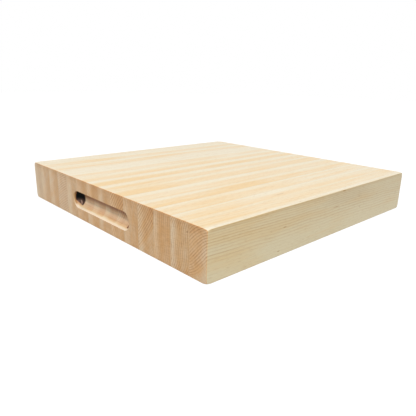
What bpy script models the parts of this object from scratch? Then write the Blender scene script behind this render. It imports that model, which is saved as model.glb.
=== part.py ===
"""An edge-grain butcher block cutting board, in metres.

Maple staves lie side by side on edge, with a film of glue in every joint. The glued panel is then
worked as one block: its edges are eased, and a round-cornered cutter runs along both ends to leave
a cove for the fingers. X runs along the grain, Y across the staves and Z up. The origin is at the
middle of the underside.
"""

import math

import bmesh
import bpy

# Panel
BOARD_LENGTH = 0.4572
BOARD_WIDTH = 0.4572
BOARD_THICKNESS = 0.0635
EDGE_RADIUS = 0.001
EDGE_SEGMENTS = 4

# Staves: the inner ones keep the width of the planed stock, and the two outer ones are trimmed
# with the panel, but never below the least width
STOCK_WIDTH = 0.03334
TRIMMED_WIDTH_LEAST = 0.018

# Joints: the space between two staves, and what the glue film leaves clear on each side
JOINT_GAP = 0.0003
FILM_CLEARANCE = 0.00005

# Finger coves: one cutter with a small flat tip and wide round corners, run level along both ends
CUTTER_RADIUS = 0.013
CORNER_RADIUS = 0.011
CUTTER_TRAVEL = 0.1306
COVE_DEPTH = 0.0113
COVE_HEIGHT = 0.0304
LIP_RADIUS = 0.0008
LIP_RUNOUT = 0.00005
LIP_SEGMENTS = 3
CORNER_SEGMENTS = 8
TURN_SEGMENTS = 20

# How far a helper reaches past the surface that it cuts, and what counts as the same point
OVERSHOOT = 0.01
SAME_POINT = 0.00001

MAPLE_TONES = {
    "pale": (0.84, 0.70, 0.49),
    "cream": (0.80, 0.64, 0.41),
    "honey": (0.74, 0.55, 0.31),
}
TONE_ORDER = ("cream", "honey", "cream", "cream", "pale", "honey", "cream")
GLUE_COLOUR = (0.78, 0.63, 0.42)
WOOD_ROUGHNESS = 0.55
GLUE_ROUGHNESS = 0.35


def clear_scene():
    for obj in list(bpy.data.objects):
        bpy.data.objects.remove(obj, do_unlink=True)


def new_collection(name):
    collection = bpy.data.collections.new(name)
    bpy.context.scene.collection.children.link(collection)
    return collection


def new_material(name, colour, roughness):
    material = bpy.data.materials.new(name)
    material.use_nodes = True
    shader = material.node_tree.nodes["Principled BSDF"]
    shader.inputs["Base Color"].default_value = (*colour, 1.0)
    shader.inputs["Roughness"].default_value = roughness
    shader.inputs["Metallic"].default_value = 0.0
    return material


def new_object(name, shape, collection, location):
    """An object made from a bmesh, which is freed."""
    mesh = bpy.data.meshes.new(name)
    shape.to_mesh(mesh)
    shape.free()
    obj = bpy.data.objects.new(name, mesh)
    obj.location = location
    collection.objects.link(obj)
    return obj


def box(length, width, height):
    """A bmesh box about its own centre."""
    shape = bmesh.new()
    bmesh.ops.create_cube(shape, size=1.0)
    bmesh.ops.scale(shape, vec=(length, width, height), verts=shape.verts)
    return shape


def as_helper(obj):
    obj.hide_render = True
    obj.display_type = "WIRE"


def add_boolean(obj, name, operation, other):
    boolean = obj.modifiers.new(name, "BOOLEAN")
    boolean.operation = operation
    boolean.solver = "EXACT"
    boolean.object = other


def arc(centre, radius, start, end, segments):
    """Points on a circle from one angle to another, both included."""
    turns = [start + (end - start) * step / segments for step in range(segments + 1)]
    return [(centre[0] + radius * math.cos(t), centre[1] + radius * math.sin(t)) for t in turns]


def cutter_outline():
    """Half the cutter's outline, as (into the board, off the cutter's axis), from the tip outwards.

    The tip is flat and its corner is an arc. Where that meets the face, a second arc that bulges the
    other way softens the lip, and it ends a hair outside the face so that it crosses at an angle.
    """
    corner = (COVE_DEPTH - CORNER_RADIUS, max(CUTTER_RADIUS - CORNER_RADIUS, 0.0))
    lip_depth = LIP_RADIUS - LIP_RUNOUT
    reach = max(lip_depth - corner[0], 0.0)
    turn = math.acos(reach / (CORNER_RADIUS + LIP_RADIUS))
    lip = (lip_depth, corner[1] + (CORNER_RADIUS + LIP_RADIUS) * math.sin(turn))
    points = [(COVE_DEPTH, 0.0)]
    points += arc(corner, CORNER_RADIUS, 0.0, turn, CORNER_SEGMENTS)
    points += arc(lip, LIP_RADIUS, turn - math.pi, -math.pi, LIP_SEGMENTS)
    back = min(corner[0], 0.0) - OVERSHOOT
    return points + [(back, lip[1]), (back, 0.0)]


def cove_cutter(name, end, collection):
    """The space that the cutter sweeps at one end of the board: -1 is the near end, +1 the far end."""
    shape = bmesh.new()
    half_travel = CUTTER_TRAVEL / 2
    points = [shape.verts.new((into, half_travel, off)) for into, off in cutter_outline()]
    lines = [shape.edges.new(pair) for pair in zip(points, points[1:])]
    bmesh.ops.spin(
        shape,
        geom=points + lines,
        cent=(0.0, half_travel, 0.0),
        axis=(-1.0, 0.0, 0.0),
        angle=math.pi,
        steps=TURN_SEGMENTS,
    )
    bmesh.ops.remove_doubles(shape, verts=shape.verts, dist=SAME_POINT)
    rim = [edge for edge in shape.edges if edge.is_boundary]
    run = bmesh.ops.extrude_edge_only(shape, edges=rim)
    moved = [item for item in run["geom"] if isinstance(item, bmesh.types.BMVert)]
    bmesh.ops.translate(shape, verts=moved, vec=(0.0, -half_travel, 0.0))
    bmesh.ops.recalc_face_normals(shape, faces=shape.faces)
    cutter = new_object(name, shape, collection, (end * BOARD_LENGTH / 2, 0.0, COVE_HEIGHT))
    cutter.rotation_euler.z = 0.0 if end < 0 else math.pi
    mirror = cutter.modifiers.new("other_half", "MIRROR")
    mirror.use_axis = (False, True, False)
    mirror.merge_threshold = SAME_POINT
    as_helper(cutter)
    return cutter


def worked_panel(collection):
    """The whole panel as it leaves the router: eased edges, and a cove in each end."""
    shape = box(BOARD_LENGTH, BOARD_WIDTH, BOARD_THICKNESS)
    panel = new_object("worked_panel", shape, collection, (0.0, 0.0, BOARD_THICKNESS / 2))
    edges = panel.modifiers.new("eased_edges", "BEVEL")
    edges.width = EDGE_RADIUS
    edges.segments = EDGE_SEGMENTS
    edges.limit_method = "NONE"
    for name, end in (("near_cove_cutter", -1), ("far_cove_cutter", 1)):
        add_boolean(panel, name, "DIFFERENCE", cove_cutter(name, end, collection))
    as_helper(panel)
    return panel


def joint_places():
    """Y of the middle of each glue joint, from the near side to the far side."""
    inner = int((BOARD_WIDTH - 2 * TRIMMED_WIDTH_LEAST) / STOCK_WIDTH)
    first = -inner * STOCK_WIDTH / 2
    return [first + STOCK_WIDTH * number for number in range(inner + 1)]


def slice_of(panel, name, low, high, material, parent, collection):
    """The part of the panel between two planes across Y."""
    shape = box(BOARD_LENGTH + 2 * OVERSHOOT, high - low, BOARD_THICKNESS + 2 * OVERSHOOT)
    piece = new_object(name, shape, collection, (0.0, (low + high) / 2, BOARD_THICKNESS / 2))
    add_boolean(piece, "cut_from_panel", "INTERSECT", panel)
    piece.data.materials.append(material)
    piece.parent = parent
    return piece


def build_staves(panel, parent, collection):
    side = BOARD_WIDTH / 2 + OVERSHOOT
    planes = [-side - JOINT_GAP / 2, *joint_places(), side + JOINT_GAP / 2]
    for number, (low, high) in enumerate(zip(planes, planes[1:]), start=1):
        name = f"stave_{number:02d}"
        tone = MAPLE_TONES[TONE_ORDER[number % len(TONE_ORDER)]]
        maple = new_material(f"{name}_maple", tone, WOOD_ROUGHNESS)
        slice_of(panel, name, low + JOINT_GAP / 2, high - JOINT_GAP / 2, maple, parent, collection)


def build_glue_lines(panel, parent, collection):
    half_film = JOINT_GAP / 2 - FILM_CLEARANCE
    for number, place in enumerate(joint_places(), start=1):
        name = f"glue_line_{number:02d}"
        glue = new_material(f"{name}_glue", GLUE_COLOUR, GLUE_ROUGHNESS)
        slice_of(panel, name, place - half_film, place + half_film, glue, parent, collection)


def main():
    clear_scene()
    board = new_collection("butcher_block_cutting_board")
    helpers = new_collection("cutters")
    origin = bpy.data.objects.new("board_origin", None)
    board.objects.link(origin)
    panel = worked_panel(helpers)
    build_staves(panel, origin, board)
    build_glue_lines(panel, origin, board)


main()
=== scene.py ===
# %% [markdown]
# # A butcher block cutting board, from frame to finish
# The board is fourteen maple staves on edge, glued side by side, with a cove for the fingers in
# each end. The frame holds these pieces at their real size, as plain faceted solids. This lesson
# gives each of them a finer mesh in the same place, and then its wood, glue and scorch marks.
# The frame is loaded first, because the later steps take the board's box and the place of every
# piece from it. Only the cutter's sizes are repeated, since a box doesn't tell them.

# %% Load the frame
import math
from collections import namedtuple

import bmesh
import bpy
from bmesh.types import BMEdge, BMVert
from mathutils import Matrix, Vector


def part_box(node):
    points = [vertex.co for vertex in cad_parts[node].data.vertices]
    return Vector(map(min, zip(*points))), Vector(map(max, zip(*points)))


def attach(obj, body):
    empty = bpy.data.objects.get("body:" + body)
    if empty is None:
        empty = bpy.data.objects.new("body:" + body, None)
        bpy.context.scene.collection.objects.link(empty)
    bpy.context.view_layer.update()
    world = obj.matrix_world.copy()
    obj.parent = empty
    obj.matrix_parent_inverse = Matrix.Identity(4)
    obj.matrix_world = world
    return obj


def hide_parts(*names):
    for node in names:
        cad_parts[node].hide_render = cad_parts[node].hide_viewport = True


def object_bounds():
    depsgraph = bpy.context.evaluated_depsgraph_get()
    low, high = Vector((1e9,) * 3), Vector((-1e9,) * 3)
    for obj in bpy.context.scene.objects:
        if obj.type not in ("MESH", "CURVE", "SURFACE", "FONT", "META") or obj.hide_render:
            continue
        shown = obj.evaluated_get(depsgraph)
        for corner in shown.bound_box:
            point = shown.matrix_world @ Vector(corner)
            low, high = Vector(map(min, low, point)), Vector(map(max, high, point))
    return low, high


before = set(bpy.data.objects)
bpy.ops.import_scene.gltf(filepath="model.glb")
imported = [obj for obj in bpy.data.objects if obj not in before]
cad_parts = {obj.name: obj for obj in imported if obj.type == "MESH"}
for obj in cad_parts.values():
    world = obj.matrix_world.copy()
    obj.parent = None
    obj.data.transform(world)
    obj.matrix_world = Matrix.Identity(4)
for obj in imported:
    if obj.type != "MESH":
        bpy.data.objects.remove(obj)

MM = 1000.0  # millimetres in a metre

cad_low, cad_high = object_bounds()
board_size = cad_high - cad_low
board_middle = (cad_low + cad_high) / 2
stave_names = sorted(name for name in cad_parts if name.startswith("stave_"))
film_names = sorted(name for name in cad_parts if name.startswith("glue_line_"))
print(f"{len(stave_names)} staves, {len(film_names)} glue lines, {board_size.x * MM:.1f} mm long")

# %% [markdown]
# ## The camera
# The photograph looks along the board from its near corner, a little above it. A camera can be
# aimed by eye, but a fitted one shows every later mistake in the shape. So it is placed from the
# board's own frame, and turned by three angles: round, down, and a slight lean to one side.

# %% Place the camera
CAMERA_PLACE = Vector((-0.5076, -0.5290, 0.2126))
CAMERA_ROUND = math.radians(47.11)
CAMERA_DOWN = math.radians(17.02)
CAMERA_LEAN = math.radians(1.19)
CAMERA_LENS = 36.75
NEAREST_SEEN = 0.01

camera = bpy.data.objects.new("camera", bpy.data.cameras.new("camera"))
bpy.context.scene.collection.objects.link(camera)
camera.data.lens = CAMERA_LENS
camera.data.clip_start = NEAREST_SEEN
camera.location = CAMERA_PLACE
turn = (
    Matrix.Rotation(CAMERA_ROUND - math.pi / 2, 3, "Z")
    @ Matrix.Rotation(math.pi / 2 - CAMERA_DOWN, 3, "X")
    @ Matrix.Rotation(CAMERA_LEAN, 3, "Z")
)
camera.rotation_euler = turn.to_euler()
bpy.context.scene.camera = camera
print(f"camera {(CAMERA_PLACE - board_middle).length:.2f} m from the middle of the board")

# %% [markdown]
# ## The worked panel
# A maker glues the staves first, and then works the panel as one block: the edges are eased, and a
# round-cornered cutter is run along both ends. Modelling it in that order means that the staves meet
# without a step, so one fine panel is made here and sawn up afterwards.
# The block is a cube that is scaled and bevelled. Many segments keep the small round smooth in a
# close view. A sanding pad also tips over the eight corners and rolls them down a little, so a few
# cuts are made beside each face, and the points near a corner are moved in.

# %% Ease the edges and corners of the block
EDGE_RADIUS = 0.001
EDGE_SEGMENTS = 8
CORNER_REACH = 0.008
CORNER_CUTS = 6
CORNER_ROLL = Vector((0.0005, 0.0005, 0.0014))
CUT_MARGIN = 0.0000001


def new_piece(name, shape):
    """An object at the origin made from a bmesh, which is freed."""
    mesh = bpy.data.meshes.new(name)
    shape.to_mesh(mesh)
    shape.free()
    piece = bpy.data.objects.new(name, mesh)
    bpy.context.scene.collection.objects.link(piece)
    return piece


def everything(shape):
    """All the geometry of a bmesh, for an operator that cuts it."""
    return shape.verts[:] + shape.edges[:] + shape.faces[:]


def cut_near_corners(shape):
    """Add edges all round the block, parallel to each face and within the corners' reach."""
    for axis in range(3):
        facing = Vector([float(axis == other) for other in range(3)])
        for side in (-1, 1):
            for cut in range(1, CORNER_CUTS + 1):
                away = board_size[axis] / 2 - CORNER_REACH * cut / CORNER_CUTS
                bmesh.ops.bisect_plane(
                    shape,
                    geom=everything(shape),
                    dist=CUT_MARGIN,
                    plane_co=board_middle + side * away * facing,
                    plane_no=facing,
                )


def roll_corners(shape):
    """Move the points near the eight corners inwards, most of all at the corner itself."""
    for vert in shape.verts:
        way = Vector([math.copysign(1.0, place) for place in vert.co - board_middle])
        corner = board_middle + way * board_size / 2
        nearness = max(0.0, 1 - (vert.co - corner).length / CORNER_REACH)
        vert.co -= way * CORNER_ROLL * nearness ** 2


def eased_block():
    shape = bmesh.new()
    bmesh.ops.create_cube(shape, size=1.0)
    bmesh.ops.scale(shape, vec=board_size, verts=shape.verts)
    bmesh.ops.translate(shape, vec=board_middle, verts=shape.verts)
    bmesh.ops.bevel(
        shape,
        geom=shape.edges[:],
        offset=EDGE_RADIUS,
        affect="EDGES",
        segments=EDGE_SEGMENTS,
        profile=0.5,
        material=-1,
    )
    cut_near_corners(shape)
    roll_corners(shape)
    return new_piece("worked_panel", shape)


panel = eased_block()
print(f"eased block: {len(panel.data.polygons)} faces")

# %% [markdown]
# ## The finger coves
# The cutter has a small flat tip and wide round corners, and a little sanding softens the lip where
# it leaves the face. Half of that outline is drawn with vertices: one on the tip, one that is spun
# round the corner, and then spun the other way round the lip. Sweeping the outline along the
# cutter's path, a straight run and a half turn and back again, gives the space that the cutter
# clears, and a Boolean takes it out of the block.

# %% Sweep the cutter
CUTTER_RADIUS = 0.013
CORNER_RADIUS = 0.011
CUTTER_TRAVEL = 0.1306
COVE_DEPTH = 0.0113
COVE_HEIGHT = 0.0304
LIP_RADIUS = 0.0008
LIP_RUNOUT = 0.00005
CORNER_SEGMENTS = 24
LIP_SEGMENTS = 8
TURN_SEGMENTS = 48
CUTTER_BACK = 0.01
SAME_POINT = 0.00001


def only(kind, items):
    """The vertices or the edges, or both, among the results of an operator."""
    return [item for item in items if isinstance(item, kind)]


def cutter_outline(shape):
    """Half the cutter's outline in the XZ plane, with X into the board, as vertices and edges."""
    corner = Vector((COVE_DEPTH - CORNER_RADIUS, 0.0, CUTTER_RADIUS - CORNER_RADIUS))
    lip_depth = LIP_RADIUS - LIP_RUNOUT
    angle = math.acos((lip_depth - corner.x) / (CORNER_RADIUS + LIP_RADIUS))
    lip = corner + (CORNER_RADIUS + LIP_RADIUS) * Vector((math.cos(angle), 0.0, math.sin(angle)))
    tip = shape.verts.new((COVE_DEPTH, 0.0, 0.0))
    last = [shape.verts.new((COVE_DEPTH, 0.0, corner.z))]
    shape.edges.new((tip, last[0]))
    for middle, turned, steps in ((corner, -angle, CORNER_SEGMENTS), (lip, angle, LIP_SEGMENTS)):
        arc = bmesh.ops.spin(
            shape, geom=last, cent=middle, axis=(0, 1, 0), angle=turned, steps=steps
        )
        last = only(BMVert, arc["geom_last"])
    outer = shape.verts.new((-CUTTER_BACK, 0.0, lip.z))
    inner = shape.verts.new((-CUTTER_BACK, 0.0, 0.0))
    shape.edges.new((last[0], outer))
    shape.edges.new((outer, inner))


def sweep_cutter(end):
    """The cleared space at one end of the board: -1 is the photographed end, +1 the other."""
    shape = bmesh.new()
    cutter_outline(shape)
    bmesh.ops.translate(shape, vec=(0, CUTTER_TRAVEL / 2, 0), verts=shape.verts)
    last = shape.edges[:]
    for way in (-1, 1):
        run = bmesh.ops.extrude_edge_only(shape, edges=only(BMEdge, last))["geom"]
        bmesh.ops.translate(shape, vec=(0, way * CUTTER_TRAVEL, 0), verts=only(BMVert, run))
        last = bmesh.ops.spin(
            shape,
            geom=only((BMVert, BMEdge), run),
            cent=(0, way * CUTTER_TRAVEL / 2, 0),
            axis=(1, 0, 0),
            angle=math.pi,
            steps=TURN_SEGMENTS,
        )["geom_last"]
    bmesh.ops.remove_doubles(shape, verts=shape.verts, dist=SAME_POINT)
    bmesh.ops.rotate(
        shape,
        cent=(0, 0, 0),
        matrix=Matrix.Rotation(0.0 if end < 0 else math.pi, 3, "Z"),
        verts=shape.verts,
    )
    face_middle = (end * board_size.x / 2 + board_middle.x, board_middle.y, COVE_HEIGHT)
    bmesh.ops.translate(shape, vec=face_middle, verts=shape.verts)
    bmesh.ops.recalc_face_normals(shape, faces=shape.faces)
    return new_piece("near_cutter" if end < 0 else "far_cutter", shape)


cutters = [sweep_cutter(end) for end in (-1, 1)]
print(f"each cutter's sweep: {len(cutters[0].data.polygons)} faces")

# %% Clear the coves
for cutter in cutters:
    clear = panel.modifiers.new(cutter.name, "BOOLEAN")
    clear.operation = "DIFFERENCE"
    clear.solver = "EXACT"
    clear.object = cutter
seen = panel.evaluated_get(bpy.context.evaluated_depsgraph_get())
panel_mesh = bpy.data.meshes.new_from_object(seen)
for helper in [panel, *cutters]:
    bpy.data.objects.remove(helper, do_unlink=True)
print(f"worked panel: {len(panel_mesh.polygons)} faces")

# %% [markdown]
# ## Staves and glue films
# Each piece is a slice of the worked panel between two planes across Y, so its eased edges and its
# share of the cove are already right. A bisect cuts the mesh, and the open side is filled with one
# face. In the frame a film has a hair of clearance, but real glue fills its joint, so here it
# reaches from one stave to the next. Weighted normals keep the flat faces flat beside the rounds.

# %% Saw the panel into pieces
SHARP_ANGLE = math.radians(35)


def slice_panel(name, low, high):
    """The part of the panel with Y between low and high, closed at the cuts."""
    shape = bmesh.new()
    shape.from_mesh(panel_mesh)
    for place, facing in ((low, -1), (high, 1)):
        cut = bmesh.ops.bisect_plane(
            shape,
            geom=everything(shape),
            dist=CUT_MARGIN,
            plane_co=(0, place, 0),
            plane_no=(0, facing, 0),
            clear_outer=True,
        )["geom_cut"]
        rim = only(BMEdge, cut)
        if rim:
            bmesh.ops.edgeloop_fill(shape, edges=rim)
    bmesh.ops.recalc_face_normals(shape, faces=shape.faces)
    piece = new_piece(name, shape)
    piece.data.shade_smooth()
    piece.data.set_sharp_from_angle(angle=SHARP_ANGLE)
    even = piece.modifiers.new("even_normals", "WEIGHTED_NORMAL")
    even.keep_sharp = True
    return piece


staves = {}
for name in stave_names:
    low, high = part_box(name)
    staves[name] = slice_panel(f"maple_{name}", low.y, high.y)
films = {}
for name, before, after in zip(film_names, stave_names, stave_names[1:]):
    films[name] = slice_panel(f"cured_{name}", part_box(before)[1].y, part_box(after)[0].y)
print(f"sawn into {len(staves)} staves and {len(films)} films")

# %% [markdown]
# ## Writing shader sums
# Wood is worked out point by point, and dozens of nodes joined by hand are hard to read. One small
# class wraps a socket, so that a sum of signals is written as in a text book and adds its own
# Math nodes. Every other node comes from its one method: the settings are set first, and then the
# values or links of the sockets.

# %% A signal in a material
class Signal:
    """One output socket. Sums with it add Math nodes to the same material."""

    def __init__(self, tree, socket=None):
        self.tree = tree
        self.socket = socket

    def node(self, kind, settings, inputs, output=0):
        """Add a node of any kind, and return one of its outputs."""
        made = self.tree.nodes.new(kind)
        for name, value in settings.items():
            setattr(made, name, value)
        for key, value in inputs.items():
            if isinstance(value, Signal):
                self.tree.links.new(value.socket, made.inputs[key])
            else:
                made.inputs[key].default_value = value
        return Signal(self.tree, made.outputs[output])

    def math(self, operation, *values):
        """A Math node on these values, or on this signal alone."""
        inputs = dict(enumerate(values or [self]))
        return self.node("ShaderNodeMath", {"operation": operation}, inputs)

    def __add__(self, other):
        return self.math("ADD", self, other)

    def __radd__(self, other):
        return self.math("ADD", other, self)

    def __sub__(self, other):
        return self.math("SUBTRACT", self, other)

    def __rsub__(self, other):
        return self.math("SUBTRACT", other, self)

    def __mul__(self, other):
        return self.math("MULTIPLY", self, other)

    def __rmul__(self, other):
        return self.math("MULTIPLY", other, self)

    def __truediv__(self, other):
        return self.math("DIVIDE", self, other)

    def __abs__(self):
        return self.math("ABSOLUTE")


print("signals ready")

# %% [markdown]
# A few short helpers say what the wood needs: a soft step over a span, noise with features of a
# chosen size, and a mix of two colours. A span is a pair: where a stain starts, and where it is
# full. Places are in millimetres from here on, since grain is that fine.

# %% Helpers for the places and the noise
NOISE_MIDDLE = 0.5
NOISE_ROUGHNESS = 0.5
SEED_STEP = (7.3, 3.9, 5.7)
Noise = namedtuple("Noise", "size shift detail", defaults=(2.0,))
Point = namedtuple("Point", "place along across up")


def ease(signal, span):
    """0 at the start of a span, 1 at its end, and a smooth climb between; a span may run down."""
    limits = {"Value": signal, "From Min": span[0], "From Max": span[1]}
    return signal.node("ShaderNodeMapRange", {"interpolation_type": "SMOOTHSTEP"}, limits)


def at_least(least, signal):
    """A signal from 0 to 1, squeezed so that it starts at the least value."""
    return least + (1 - least) * signal


def axes(vector):
    """X, Y and Z of a vector."""
    return [vector.node("ShaderNodeSeparateXYZ", {}, {0: vector}, axis) for axis in "XYZ"]


def point_in_mm(start):
    """The point on the piece, in millimetres, as a vector and as X, Y and Z."""
    spot = start.node("ShaderNodeTexCoord", {}, {}, "Object")
    place = start.node("ShaderNodeVectorMath", {"operation": "SCALE"}, {0: spot, "Scale": MM})
    return Point(place, *axes(place))


def noise(place, kind, seed):
    """Smooth noise about its middle; its kind has a size (X, Y, Z) in mm and a shift of the seed."""
    shift = [(seed + kind.shift) * step for step in SEED_STEP]
    stretch = {0: place, 1: [1 / length for length in kind.size], 2: shift}
    spot = place.node("ShaderNodeVectorMath", {"operation": "MULTIPLY_ADD"}, stretch)
    values = {"Vector": spot, "Scale": 1.0, "Detail": kind.detail, "Roughness": NOISE_ROUGHNESS}
    return place.node("ShaderNodeTexNoise", {}, values)


def swing(place, kind, seed):
    """The same noise, about 0."""
    return noise(place, kind, seed) - NOISE_MIDDLE


print("places and noise ready")

# %% Helpers for the colours
# The colour sockets of a Mix node, by number, since its other types share their names
MIX_FIRST = 6
MIX_SECOND = 7
MIX_RESULT = 2


def mix(factor, first, second, way="MIX"):
    """One colour or the other, or their product with MULTIPLY; a plain colour is a tuple."""
    colours = [c if isinstance(c, Signal) else (*c, 1.0) for c in (first, second)]
    kind = {"data_type": "RGBA", "blend_type": way}
    inputs = {0: factor, MIX_FIRST: colours[0], MIX_SECOND: colours[1]}
    return factor.node("ShaderNodeMix", kind, inputs, MIX_RESULT)


def new_finish(name):
    """An empty material, a signal to start from in its node tree, and its shader."""
    material = bpy.data.materials.new(name)
    material.use_nodes = True
    shader = material.node_tree.nodes["Principled BSDF"]
    return material, Signal(material.node_tree), shader


def finish_surface(shader, colour, roughness, height, depth):
    """Wire a colour, a roughness and a relief, whose depth is in metres, to a shader."""
    bump = colour.node("ShaderNodeBump", {}, {"Strength": 1.0, "Distance": depth, "Height": height})
    for name, signal in (("Base Color", colour), ("Roughness", roughness), ("Normal", bump)):
        colour.tree.links.new(signal.socket, shader.inputs[name])


print("colours ready")

# %% [markdown]
# ## How each stave grew
# Wood is a solid pattern: the rings on the end face run on as lines along the top and the side. So
# the rings are a field in space, cut by whatever surface is there, and no two faces can disagree.
# For each stave, a few numbers are read off the photograph: the slope of the rings on its end, how
# far apart they are, how they bow and sway, how strongly they show, and how far below the middle
# they give way to plain sapwood. The last six say how amber the wood is, how much paler its far
# edge is and at what share of the width that starts, where along the stave the warmest patch lies,
# how warm that patch is, and how much oil the end soaks up.

# %% Growth of the fourteen staves
Growth = namedtuple(
    "Growth", "slope spacing bow sway strength sapwood amber edge edge_at patch_at patch soak"
)
GROWTH = {
    "stave_01": Growth(47, 3.0, 0.0, 6.0, 0.72, -18.0, 0.50, 0.85, 0.57, -192, 0.15, 1.00),
    "stave_02": Growth(98, 3.7, 0.0, 8.0, 0.62, -40.0, 0.46, 0.60, 0.58, -169, 0.25, 0.72),
    "stave_03": Growth(92, 3.8, 3.0, 0.0, 0.45, -40.0, 0.50, 0.56, 0.59, -163, 0.25, 1.02),
    "stave_04": Growth(52, 3.3, -1.5, 0.0, 0.85, -9.0, 0.74, 0.72, 0.51, -62, 0.40, 0.88),
    "stave_05": Growth(80, 3.6, 3.0, 0.0, 0.40, -40.0, 0.50, 0.55, 0.46, 60, 0.10, 1.10),
    "stave_06": Growth(60, 4.2, 2.0, 1.0, 0.75, -10.0, 0.71, 0.65, 0.52, -183, 0.30, 1.10),
    "stave_07": Growth(84, 3.6, -2.0, 0.0, 0.40, -40.0, 0.48, 0.48, 0.46, -150, 0.15, 1.00),
    "stave_08": Growth(50, 3.2, 2.5, 0.0, 0.50, -4.0, 0.84, 0.88, 0.37, -188, 0.25, 1.00),
    "stave_09": Growth(70, 3.2, -2.0, 0.0, 0.40, -40.0, 0.63, 0.60, 0.39, 27, 0.25, 1.25),
    "stave_10": Growth(62, 3.0, 2.0, 0.0, 0.40, -40.0, 0.37, 0.50, 0.38, 19, 0.15, 0.92),
    "stave_11": Growth(28, 3.6, 3.0, 0.0, 0.90, -40.0, -0.12, -0.40, 0.54, -60, 0.05, 0.95),
    "stave_12": Growth(30, 3.2, -2.0, 0.0, 0.60, -40.0, 0.53, 0.55, 0.35, 2, 0.25, 0.88),
    "stave_13": Growth(40, 3.2, 2.0, 0.0, 0.55, -40.0, 0.41, 0.50, 0.41, -139, 0.30, 0.85),
    "stave_14": Growth(24, 2.9, 2.0, 0.0, 0.55, -40.0, 0.08, 0.30, 0.41, -100, 0.10, 0.72),
}
print(f"ring spacing {min(g.spacing for g in GROWTH.values())} mm at the finest")

# %% [markdown]
# ## Rings
# Across the end face, one direction crosses the rings and the other follows them. A square and a
# cube of the second bend the rings into bows and sways, slow noise along the grain makes them
# wander, and quicker noise makes them waver. The fraction that is left after dividing by the
# spacing climbs through one year, and the late wood darkens towards its end. Some years are darker
# than others, and noise of the age alone gives runs of warm and pale years, which the long faces
# show as flowing bands. Fine rays cross the rings at a right angle.

# %% Year rings as a field in space
RING_REACH = 30.0
RING_DRIFT = 0.016
WANDER = Noise((200, 160, 160), 0)
WANDER_REACH = 13.0
WAVER = Noise((90, 14, 14), 40)
WAVER_REACH = 1.6
LATE_START = (0.40, 0.85)
LATE_END = (1.0, 0.88)
VIGOUR = Noise((220, 6, 6), 70)
VIGOUR_SPAN = (0.3, 0.7)
WEAK_YEAR = 0.6
VIGOUR_GAIN = 0.6
YEARS_IN_A_RUN = 10.0
RUN_SHIFT = 17.3
RAY = Noise((5.0, 9.0, 1.5), 90)
SAPWOOD_START = 3.0
SAPWOOD_FULL = -4.0
Rings = namedtuple("Rings", "late run ray sapwood")


def ring_axes(point, middle, growth):
    """How far a point lies across the rings and along them, from a middle at Y and Z in mm."""
    lean = math.radians(growth.slope)
    right = middle[0] - point.across
    rise = point.up - middle[1]
    over = rise * math.cos(lean) - right * math.sin(lean)
    follow = right * math.cos(lean) + rise * math.sin(lean)
    return over, follow


def year_rings(point, middle, growth, seed):
    """Late wood and sapwood from 0 to 1, and the runs of years and the rays, which swing about 0."""
    over, follow = ring_axes(point, middle, growth)
    turn = follow / RING_REACH
    bend = turn * turn * (growth.bow + growth.sway * turn)
    wander = swing(point.place, WANDER, seed) * WANDER_REACH
    waver = swing(point.place, WAVER, seed) * WAVER_REACH
    age = over + bend + wander + waver + point.along * RING_DRIFT
    year = (age / growth.spacing).math("FRACT")
    vigour = ease(noise(point.place, VIGOUR, seed), VIGOUR_SPAN)
    late = ease(year, LATE_START) * ease(year, LATE_END) * (WEAK_YEAR + VIGOUR_GAIN * vigour)
    years = {"W": age / YEARS_IN_A_RUN + RUN_SHIFT * seed, "Scale": 1.0, "Detail": 1.0}
    run = age.node("ShaderNodeTexNoise", {"noise_dimensions": "1D"}, years) - NOISE_MIDDLE
    crossing = age.node("ShaderNodeCombineXYZ", {}, {"X": point.along, "Y": over, "Z": follow})
    ray = swing(crossing, RAY, seed)
    sapwood = ease(age, (growth.sapwood + SAPWOOD_START, growth.sapwood + SAPWOOD_FULL))
    return Rings(late, run, ray, sapwood)


print("rings ready")

# %% [markdown]
# ## The near cove: the fresh cut
# The cutter leaves wood that never soaked up oil. It is faintly lined by the cutter's passes, and
# palest on the shelf behind the lower lip, where painted light brightens it further towards the lip.
# A warm painted shade darkens the inner corner above the shelf, and a browner painted shade lies
# along the whole upper part, under the upper lip. A separate face for each would leave hard seams,
# so all of it is painted by place: how deep behind the face, at what level from the cove's axis,
# and how far off the cutter's path.

# %% Wood as the cutter leaves it
FRESH_CUT = (0.95, 0.92, 0.74)
FRESH_LEAST = 0.06
FRESH_BY_EDGE = 0.12
FRESH_BY_LEVEL = 0.28
FRESH_LEVEL = (2.5, -6.0)
CUTTER_MARK = (0.93, 0.85, 0.76)
MARKS = Noise((1.4, 80.0, 1.1), 3)
MARKS_SPAN = (0.42, 0.60)
MARKS_LEVEL = (-2.0, -7.0)
# Paler wood on the shelf, with painted light that is strongest towards the lip
SHELF_PALE_AND_LIGHT = (0.985, 0.84, 0.65)
SHELF_OFF = (10.5, 12.5)
SHELF_DEPTH = (5.0, 2.0)
SHELF_LEVEL = (-7.0, -11.0)
# Warm painted shade in the inner corner above the shelf
CREASE_SHADE = (0.96, 0.91, 0.83)
CREASE_SHADE_LEVEL = (-7.5, -9.5)
CREASE_SHADE_DEPTH = (4.0, 5.5)
# Brown painted shade along the upper part, under the upper lip
LIP_SHADE = (0.46, 0.31, 0.18)
LIP_SHADE_LEVEL = (-1.0, 5.0)
LIP_SHADE_DEPTH = (7.0, 10.0)


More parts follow.
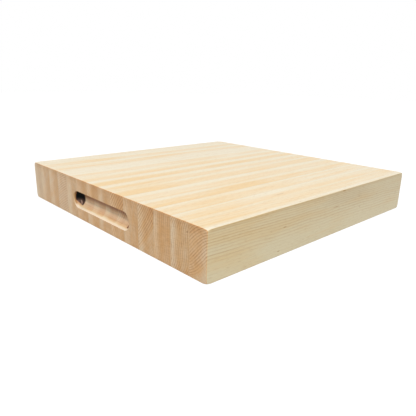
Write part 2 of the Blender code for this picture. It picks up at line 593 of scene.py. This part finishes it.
def fresh_cut(colour, pale, place, level, depth, off):
    """The wood as the cutter leaves it: pale with painted light on the shelf, painted shade in the
    corner and above.
    """
    fresh = FRESH_LEAST + FRESH_BY_EDGE * pale + FRESH_BY_LEVEL * ease(level, FRESH_LEVEL)
    marks = ease(noise(place, MARKS, 0), MARKS_SPAN) * ease(level, MARKS_LEVEL)
    # Paler wood on the shelf, brightened further by painted light towards the lip
    shelf = ease(off, SHELF_OFF) * ease(depth, SHELF_DEPTH) * ease(level, SHELF_LEVEL)
    # Painted shade in the inner corner, where the wall turns into the shelf
    crease_shade = ease(level, CREASE_SHADE_LEVEL) * ease(depth, CREASE_SHADE_DEPTH)
    # Painted shade under the upper lip
    lip_shade = ease(level, LIP_SHADE_LEVEL) * ease(depth, LIP_SHADE_DEPTH)
    colour = mix(fresh, colour, FRESH_CUT)
    colour = mix(marks, colour, CUTTER_MARK, "MULTIPLY")
    colour = mix(shelf, colour, SHELF_PALE_AND_LIGHT)
    colour = mix(crease_shade, colour, CREASE_SHADE, "MULTIPLY")
    return mix(lip_shade, colour, LIP_SHADE, "MULTIPLY")


print("fresh cut ready")

# %% [markdown]
# ## The near cove: scorch
# A cutter that dwells at the ends of its run burns the wood. In the photograph the far bowl is
# burnt almost black behind a tan lip, with a pinkish streak, and the edge of a second burn peeps out
# of the near bowl. The burns are painted by place like the cut, and by how far they lie past a
# bowl's middle. Black wood that still mirrors a white sky looks grey, so the char is also wired to
# Metallic: a metal reflects only its own colour, and here that is black. The cove at the other end
# isn't shown, so it stays clean.

# %% How the burns lie
BOWL = MM * CUTTER_TRAVEL / 2
Burn = namedtuple("Burn", "start lip shelf")
FAR_BURN = Burn(-3.4, 2.8, 4.4)
FAR_BURN_SLANT = 2.0
SLANT_LEVEL = (-3.0, -9.0)
NEAR_BURN = Burn(-1.8, 1.9, 3.5)
BURN_SHELF_LEVEL = (-2.0, -10.0)
PINK_PAST = 5.0
PINK_LEVEL = -7.0
PINK_SLOPE = 0.7
PINK_WIDTH = (1.6, 0.4)
PINK_TOP = (-3.0, -5.5)
PINK_FOOT = (-11.5, -9.5)


def off_path(across, level):
    """How far a point is from the cutter's path, which ends at the middles of the bowls."""
    over = abs(across) - BOWL
    beyond = over.math("MAXIMUM", over, 0.0)
    return (level * level + beyond * beyond).math("SQRT")


def burn_front(past, level, depth, burn):
    """How far into a burn, in mm: along the bowl, and behind its lip, deeper on the shelf."""
    return past - burn.start, depth - burn.lip - burn.shelf * ease(level, BURN_SHELF_LEVEL)


def pink_streak(past, level):
    """A slanting streak, low in the far bowl."""
    aside = past - PINK_PAST - PINK_SLOPE * (level - PINK_LEVEL)
    return ease(abs(aside), PINK_WIDTH) * ease(level, PINK_TOP) * ease(level, PINK_FOOT)


print(f"the bowls' middles are {BOWL:.1f} mm to each side")

# %% Burn from the dwelling cutter
FACE = MM * board_size.x / 2
COVE_OFF = (14.2, 13.8)
COVE_FRONT = (0.02, 0.15)
COVE_BACK = (13.0, 12.0)
SINGED_TAN = (0.62, 0.38, 0.20)
TAN_PAST = (-1.0, 4.0)
TAN_DEPTH = (-0.2, 2.5)
TAN_LEVEL = (-12.0, -7.0)
BURNT_BROWN = (0.10, 0.040, 0.024)
BURN_INTO = (-0.6, 0.6)
BURN_BEHIND = (-0.6, 0.8)
CHAR = (0.006, 0.007, 0.007)
CHAR_INTO = (0.4, 2.2)
CHAR_BEHIND = (0.0, 1.6)
ASH = (0.10, 0.062, 0.048)
ASH_LEVEL = (1.0, -7.0)
PINKISH_STREAK = (0.42, 0.26, 0.19)
SINGED_BROWN = (0.26, 0.09, 0.045)
SINGE_INTO = (-0.5, 0.5)


def scorch(colour, pale, point):
    """The colour with the cut and the burns of the near cove, and how charred it is."""
    depth = point.along + FACE
    level = point.up - MM * COVE_HEIGHT
    off = off_path(point.across, level)
    in_cove = ease(off, COVE_OFF) * ease(depth, COVE_FRONT) * ease(depth, COVE_BACK)
    burnt = fresh_cut(colour, pale, point.place, level, depth, off)
    past = point.across - BOWL
    tan = ease(past, TAN_PAST) * ease(depth, TAN_DEPTH) * ease(level, TAN_LEVEL)
    burnt = mix(tan, burnt, SINGED_TAN, "MULTIPLY")
    slant = FAR_BURN_SLANT * ease(level, SLANT_LEVEL)
    into, behind = burn_front(past - slant, level, depth, FAR_BURN)
    burnt = mix(ease(into, BURN_INTO) * ease(behind, BURN_BEHIND), burnt, BURNT_BROWN)
    char = ease(into, CHAR_INTO) * ease(behind, CHAR_BEHIND)
    burnt = mix(char, burnt, mix(ease(level, ASH_LEVEL), CHAR, ASH))
    # A lighter pinkish streak across the char, low in the far bowl
    streak = pink_streak(past, level)
    burnt = mix(streak * char, burnt, PINKISH_STREAK)
    into, behind = burn_front(-1 * point.across - BOWL, level, depth, NEAR_BURN)
    singe = ease(into, SINGE_INTO) * ease(behind, BURN_BEHIND)
    burnt = mix(singe, burnt, SINGED_BROWN)
    return mix(in_cove, colour, burnt), in_cove * (char * (1 - streak) + singe)


print("scorch ready")

# %% [markdown]
# ## Maple
# The colour lies between cream and amber. Most staves are palest along their far edge and warmest
# along their near one, which is what makes the joints read as crisp lines. Blotches, runs of years
# and streaks stretched along the grain vary that. On the planed faces, red hardly changes while blue
# does, so the lines of late wood get a stain there that is gentle on red. The sawn long sides are a
# little yellower than the sanded top, and browner just under it. Painted shade also darkens them,
# most towards the far end and the top.

# %% Which way the surface faces
END_FACING = (0.30, 0.72)
SIDE_FACING = (0.5, 0.95)
ARRIS_FACING = (0.10, 0.36)
UPRIGHT_ARRIS = 0.6
Faces = namedtuple("Faces", "end side arris")


def faces_of(start):
    """How far the surface is an end, a side, or the eased edge round an end."""
    normal = start.node("ShaderNodeTexCoord", {}, {}, "Normal")
    x, y, z = [abs(part) for part in axes(normal)]
    arris = x * x * (z + UPRIGHT_ARRIS * y)
    return Faces(ease(x, END_FACING), ease(y, SIDE_FACING), ease(arris, ARRIS_FACING))


print("faces ready")

# %% How amber the wood is
EDGE_LOST_ON_END = 0.5
EDGE_LOST_ON_SIDE = 0.6
PATCH_LENGTH = 90.0
PATCH_SPAN = (1.0, 0.0)
STREAK = Noise((260, 2.4, 2.4), 20)
STREAK_TONE = 0.5
BLOTCH_TONE = 1.2
RUN_TONE = 0.8
RUN_LOST_ON_SIDE = 0.5
SAPWOOD_TONE = 0.2
FAR_FADE = 0.0004


def grain_tone(point, faces, rings, growth, pale, blotch, seed):
    """How amber the wood is: 0 is pale and 1 is amber."""
    lift = growth.edge * (1 - EDGE_LOST_ON_END * faces.end - EDGE_LOST_ON_SIDE * faces.side)
    patch = ease(abs((point.along - growth.patch_at) / PATCH_LENGTH), PATCH_SPAN)
    streak = swing(point.place, STREAK, seed) * STREAK_TONE
    run = rings.run * (RUN_TONE - RUN_LOST_ON_SIDE * faces.side)
    tone = growth.amber + growth.patch * patch + blotch * BLOTCH_TONE + run + streak
    return tone - pale * lift - rings.sapwood * SAPWOOD_TONE - point.along * FAR_FADE


print("tones ready")

# %% Long grain
PALE = (0.885, 0.79, 0.60)
AMBER = (0.875, 0.635, 0.325)
EDGE_CLIMB = 0.36
EDGE_BLOTCH = 0.3
SIDE_STAIN = (0.97, 0.95, 0.83)
# Painted shade on the long sides
SIDE_SHADE = (0.92, 0.90, 0.875)
SIDE_SHADE_ALONG = (-200.0, 60.0)
SIDE_SHADE_ALONG_LEAST = 0.25
SIDE_SHADE_UP = (18.0, 46.0)
SIDE_SHADE_UP_LEAST = 0.35
SIDE_RIM = (0.90, 0.84, 0.75)
RIM_UP = (56.5, 62.5)


def long_grain(point, faces, rings, growth, share, blotch, seed):
    """The wood before its end grain soaks up oil, with painted shade on the sides, and how pale the
    far edge is.
    """
    climb = (growth.edge_at, growth.edge_at + EDGE_CLIMB)
    pale = ease(share + blotch * EDGE_BLOTCH, climb)
    colour = mix(grain_tone(point, faces, rings, growth, pale, blotch, seed), PALE, AMBER)
    colour = mix(faces.side, colour, SIDE_STAIN, "MULTIPLY")
    # Painted shade over the long sides, heaviest towards the far end and the top
    side_shade = at_least(SIDE_SHADE_ALONG_LEAST, ease(point.along, SIDE_SHADE_ALONG))
    side_shade = side_shade * at_least(SIDE_SHADE_UP_LEAST, ease(point.up, SIDE_SHADE_UP))
    colour = mix(faces.side * side_shade, colour, SIDE_SHADE, "MULTIPLY")
    return mix(faces.side * ease(point.up, RIM_UP), colour, SIDE_RIM, "MULTIPLY"), pale


print("long grain ready")

# %% [markdown]
# End grain soaks up more oil, so where the surface faces along X the wood is browner, most of all
# just under the top edge and along the eased corner itself. Its rings are stronger too, and its rays
# show as a faint hatching. Each of these is a stain that multiplies the colour.

# %% End grain
END_STAIN = (0.945, 0.77, 0.62)
SOAK_MOST = 1.05
SOAK_LOST_PALE = 0.22
END_SHADE = (0.885, 0.84, 0.775)
SHADE_LEAST = 0.55
SHADE_BY_EDGE = 0.6
SHADE_BLOTCH = 1.2
RIM_DARKENING = (0.91, 0.85, 0.77)
OIL_RUN = 14.0
OIL_BLOTCH = 2.0
# A weaker darkening towards the bottom edge of the end
FOOT_DARKENING = 0.5
FOOT_UP = (6.0, 0.0)
ARRIS_STAIN = (1.0, 0.82, 0.63)
RAY_STAIN = (0.80, 0.74, 0.68)
RAY_LEAST = 0.15
RAY_SWING = 1.7


def end_grain(colour, point, faces, rings, growth, pale, blotch, top):
    """The colour with the end's oil, its shade away from the pale edge, and its rays."""
    soaked = faces.end * growth.soak * (SOAK_MOST - SOAK_LOST_PALE * pale)
    colour = mix(soaked, colour, END_STAIN, "MULTIPLY")
    shade = (SHADE_LEAST + SHADE_BY_EDGE * growth.edge) * (1 - pale) + blotch * SHADE_BLOTCH
    colour = mix(faces.end * shade, colour, END_SHADE, "MULTIPLY")
    # Darker under the top edge, where oil gathers, and darker towards the bottom edge
    rim = ease(point.up, (top - OIL_RUN, top)) + FOOT_DARKENING * ease(point.up, FOOT_UP)
    colour = mix(faces.end * rim * (1 + blotch * OIL_BLOTCH), colour, RIM_DARKENING, "MULTIPLY")
    colour = mix(faces.arris, colour, ARRIS_STAIN, "MULTIPLY")
    return mix(faces.end * (RAY_LEAST + RAY_SWING * rings.ray), colour, RAY_STAIN, "MULTIPLY")


print("end grain ready")

# %% [markdown]
# Late wood is what draws the lines. On the end it is a strong brown, on the top a faint amber, and
# on the side something between, and it comes and goes along the stave. Sapwood hides most of it. A
# colour of its own for each face would break at the edges, so one stain is mixed by the way that the
# surface faces.

# %% Lines of late wood
LINE_STAIN = (0.90, 0.74, 0.55)
RING_STAIN = (0.62, 0.42, 0.27)
SIDE_RING_SHARE = 0.5
FADE = Noise((160, 26, 20), 50)
FADE_SPAN = (0.35, 0.6)
FADE_LEAST = 0.55
LINES_ON_TOP = 0.32
LINES_MORE_ON_END = 0.68
LINES_MORE_ON_SIDE = 0.35
SAPWOOD_HIDES = 0.8


def late_lines(colour, point, faces, rings, growth, seed):
    """The colour with its lines of late wood."""
    fade = at_least(FADE_LEAST, ease(noise(point.place, FADE, seed), FADE_SPAN))
    facing = LINES_ON_TOP + LINES_MORE_ON_END * faces.end + LINES_MORE_ON_SIDE * faces.side
    shows = growth.strength * fade * facing * (1 - SAPWOOD_HIDES * rings.sapwood)
    stain = mix(faces.end + faces.side * SIDE_RING_SHARE, LINE_STAIN, RING_STAIN)
    return mix(shows * rings.late, colour, stain, "MULTIPLY")


print("late wood ready")

# %% [markdown]
# Flecks are short dark marks along the grain. A few stray ones come from noise. A pin knot and
# others are painted where the photograph has them. Each is a soft spot with its own place, size and
# strength, which needs no image. The last one on the first stave is a wide, faint stain.

# %% Flecks
FLECK_STAIN = (0.58, 0.38, 0.17)
FLECK_EDGE = (1.0, 0.4)
DARK = 0.72
STRAY_FLECKS = Noise((14, 1.1, 1.1), 60, 1.0)
STRAY_SPAN = (0.74, 0.80)
Fleck = namedtuple("Fleck", "spot size strength")
FLECKS = {
    "stave_01": [
        Fleck((-97, -229, 37), (4.5, 3, 0.8), DARK),
        Fleck((21, -229, 41), (11, 3, 0.8), DARK),
        Fleck((38, -229, 62), (6, 3, 1.2), DARK),
        Fleck((84, -229, 46), (5, 3, 0.6), DARK),
        Fleck((89, -229, 29), (4, 3, 0.6), DARK),
        Fleck((-107, -229, 7), (4, 3, 0.8), DARK),
        Fleck((52, -229, 52), (85, 3, 13), 0.12),
    ],
    "stave_02": [
        Fleck((-229, -196, 52), (6, 1.7, 1.3), DARK),
        Fleck((-57, -186, 63.5), (15, 2.3, 3), 0.29),
    ],
}


def flecks(point, name, seed):
    """How dark a fleck is here, and 0 where there is none."""
    found = DARK * ease(noise(point.place, STRAY_FLECKS, seed), STRAY_SPAN)
    for spot, size, strength in FLECKS.get(name, []):
        reach = {0: point.place, 1: spot}
        away = found.node("ShaderNodeVectorMath", {"operation": "SUBTRACT"}, reach)
        away = found.node("ShaderNodeVectorMath", {"operation": "DIVIDE"}, {0: away, 1: size})
        gap = found.node("ShaderNodeVectorMath", {"operation": "LENGTH"}, {0: away}, "Value")
        found = found + strength * ease(gap, FLECK_EDGE)
    return found


print(f"{sum(len(spots) for spots in FLECKS.values())} flecks placed by eye")

# %% [markdown]
# Now the whole finish is put together for each stave, from its growth to its pores, which are fine
# ticks along the grain. The same pores and late wood feed the roughness and a shallow relief. The
# first stave is the other way round: its pale edge is on the outside, where it is partly paler wood
# and partly a painted highlight along the board's near long edge, and its end is evenly pale.

# %% Mix the maple
COVE_END = BOWL + MM * CUTTER_RADIUS
BLOTCH = Noise((90, 12, 20), 10)
FIRST_PALE = 0.5
FIRST_SWING = 0.3
PORE = Noise((9, 0.9, 0.9), 30, 1.0)
PORE_SPAN = (0.54, 0.68)
PORE_DARK = 0.16
WOOD_ROUGHNESS = 0.40
LATE_ROUGHNESS = 0.10
PORE_ROUGHNESS = 0.12
WOOD_LEVEL = 0.5
LATE_DIP = 0.25
PORE_DIP = 0.35
WOOD_RELIEF = 0.00006


def maple(name, seed):
    growth = GROWTH[name]
    first = name == stave_names[0]
    low, high = (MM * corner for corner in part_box(name))
    material, start, shader = new_finish(f"{name}_maple")
    point = point_in_mm(start)
    faces = faces_of(start)
    rings = year_rings(point, ((low.y + high.y) / 2, high.z / 2), growth, seed)
    blotch = swing(point.place, BLOTCH, seed)
    share = (point.across - low.y) / (high.y - low.y)
    # The first stave's pale outer edge is partly paler wood and partly a painted highlight
    if first:
        share = 1 - share
    colour, pale = long_grain(point, faces, rings, growth, share, blotch, seed)
    if first:
        pale = FIRST_PALE + FIRST_SWING * pale
    colour = end_grain(colour, point, faces, rings, growth, pale, blotch, high.z)
    colour = late_lines(colour, point, faces, rings, growth, seed)
    colour = mix(flecks(point, name, seed), colour, FLECK_STAIN, "MULTIPLY")
    pore = ease(noise(point.place, PORE, seed), PORE_SPAN)
    colour = mix(pore * PORE_DARK, colour, FLECK_STAIN, "MULTIPLY")
    if low.y < COVE_END and high.y > -COVE_END:
        colour, char = scorch(colour, pale, point)
        start.tree.links.new(char.socket, shader.inputs["Metallic"])
    roughness = WOOD_ROUGHNESS + LATE_ROUGHNESS * rings.late + PORE_ROUGHNESS * pore
    height = WOOD_LEVEL - PORE_DIP * pore - LATE_DIP * rings.late
    finish_surface(shader, colour, roughness, height, WOOD_RELIEF)
    return material


for seed, (name, piece) in enumerate(staves.items(), start=1):
    piece.data.materials.append(maple(name, seed))
print(f"maple on {len(staves)} staves")

# %% [markdown]
# ## Glue
# Wood glue cures to a cream film that is scraped and sanded flush. Only its thin edge ever shows, a
# hair between two staves, a little smoother than the wood. Uneven squeeze-out clouds its colour, and
# the films that cross the near cove are burnt with the wood.

# %% Cure the glue
GLUE_PALE = (0.74, 0.59, 0.39)
GLUE_AMBER = (0.60, 0.43, 0.25)
CLOUD = Noise((30, 5, 8), 0)
CLOUD_SPAN = (0.3, 0.7)
SPECK = Noise((1.5, 1.0, 1.0), 5)
GLUE_ROUGHNESS = 0.30
SPECK_ROUGHNESS = 0.12
GLUE_RELIEF = 0.00003
FIRST_GLUE_SEED = 101


def cured_glue(name, seed):
    material, start, shader = new_finish(f"{name}_glue")
    point = point_in_mm(start)
    cloud = noise(point.place, CLOUD, seed)
    speck = noise(point.place, SPECK, seed)
    colour = mix(ease(cloud, CLOUD_SPAN), GLUE_PALE, GLUE_AMBER)
    if abs(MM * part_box(name)[0].y) < COVE_END:
        colour, char = scorch(colour, cloud, point)
        start.tree.links.new(char.socket, shader.inputs["Metallic"])
    finish_surface(shader, colour, GLUE_ROUGHNESS + SPECK_ROUGHNESS * speck, speck, GLUE_RELIEF)
    return material


for seed, (name, piece) in enumerate(films.items(), start=FIRST_GLUE_SEED):
    piece.data.materials.append(cured_glue(name, seed))
print(f"glue on {len(films)} films")

# %% [markdown]
# ## Joining the frame
# Every piece stands for one node of the frame, whose node is hidden, and moves with the board's one
# body.

# %% Tie the pieces to the frame
for node, piece in {**staves, **films}.items():
    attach(piece, "root")
    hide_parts(node)

# %% [markdown]
# ## Studio
# The photograph is a cut-out on white. A white world and two soft lamps, one from the near left and
# one almost overhead, light the board at a plain level. The edges of their shadows are what draws
# the two lines along the cove. Camera and mirror rays see the world and the floor as white,
# while the light that bounces off the floor is dimmer, so the underside of the coves keeps its
# shade. Part of the floor's white stays an ordinary matt surface, which keeps a faint shadow.

# %% Floor and world
WHITE = (1.0, 1.0, 1.0, 1.0)
FLOOR_RADIUS = 5.0
FLOOR_SEGMENTS = 64
FLOOR_BOUNCE = 0.30
SHADOW_SHARE = 0.25
SKY_FILL = 0.57


def seen_directly(start):
    """1 for rays from the camera, a mirror or a glass, 0 for light that bounces."""
    rays = [
        start.node("ShaderNodeLightPath", {}, {}, f"Is {kind} Ray")
        for kind in ("Camera", "Glossy", "Transmission")
    ]
    return start.math("MAXIMUM", start.math("MAXIMUM", rays[0], rays[1]), rays[2])


def matt_grey(start, level):
    return start.node("ShaderNodeBsdfDiffuse", {}, {"Color": (level, level, level, 1.0)})


def lay_floor():
    shape = bmesh.new()
    bmesh.ops.create_circle(shape, cap_ends=True, segments=FLOOR_SEGMENTS, radius=FLOOR_RADIUS)
    floor = new_piece("floor", shape)
    material = bpy.data.materials.new("white_floor")
    material.use_nodes = True
    tree = material.node_tree
    tree.nodes.remove(tree.nodes["Principled BSDF"])
    start = Signal(tree)
    bounce = matt_grey(start, FLOOR_BOUNCE)
    matt = matt_grey(start, SHADOW_SHARE)
    glow = {"Color": WHITE, "Strength": 1 - SHADOW_SHARE * SKY_FILL}
    white = start.node("ShaderNodeEmission", {}, glow)
    look = start.node("ShaderNodeAddShader", {}, {0: white, 1: matt})
    both = start.node("ShaderNodeMixShader", {}, {0: seen_directly(start), 1: bounce, 2: look})
    tree.links.new(both.socket, tree.nodes["Material Output"].inputs["Surface"])
    floor.data.materials.append(material)


def hang_sky():
    world = bpy.data.worlds.new("white_sky")
    world.use_nodes = True
    start = Signal(world.node_tree)
    strength = at_least(SKY_FILL, seen_directly(start))
    background = world.node_tree.nodes["Background"]
    background.inputs["Color"].default_value = WHITE
    world.node_tree.links.new(strength.socket, background.inputs["Strength"])
    bpy.context.scene.world = world


lay_floor()
hang_sky()
print("floor and sky ready")

# %% Lamps
LAMP_DISTANCE = 4.0
LAMP_SIZE = 0.15
LAMPS = {
    "near_soft_box": (Vector((-0.52, -0.54, 0.72)), 0.42),
    "top_soft_box": (Vector((-0.33, -0.20, 0.90)), 0.145),
}


def hang_lamp(name, side, level):
    """A square soft box whose light on a facing white sheet is the level."""
    lamp = bpy.data.objects.new(name, bpy.data.lights.new(name, "AREA"))
    bpy.context.scene.collection.objects.link(lamp)
    lamp.data.size = LAMP_SIZE
    lamp.data.energy = level * (math.pi * LAMP_DISTANCE) ** 2
    lamp.location = board_middle + side.normalized() * LAMP_DISTANCE
    lamp.rotation_euler = side.to_track_quat("Z", "Y").to_euler()


for name, (side, level) in LAMPS.items():
    hang_lamp(name, side, level)
bpy.context.scene.view_settings.view_transform = "Standard"
print("studio ready")
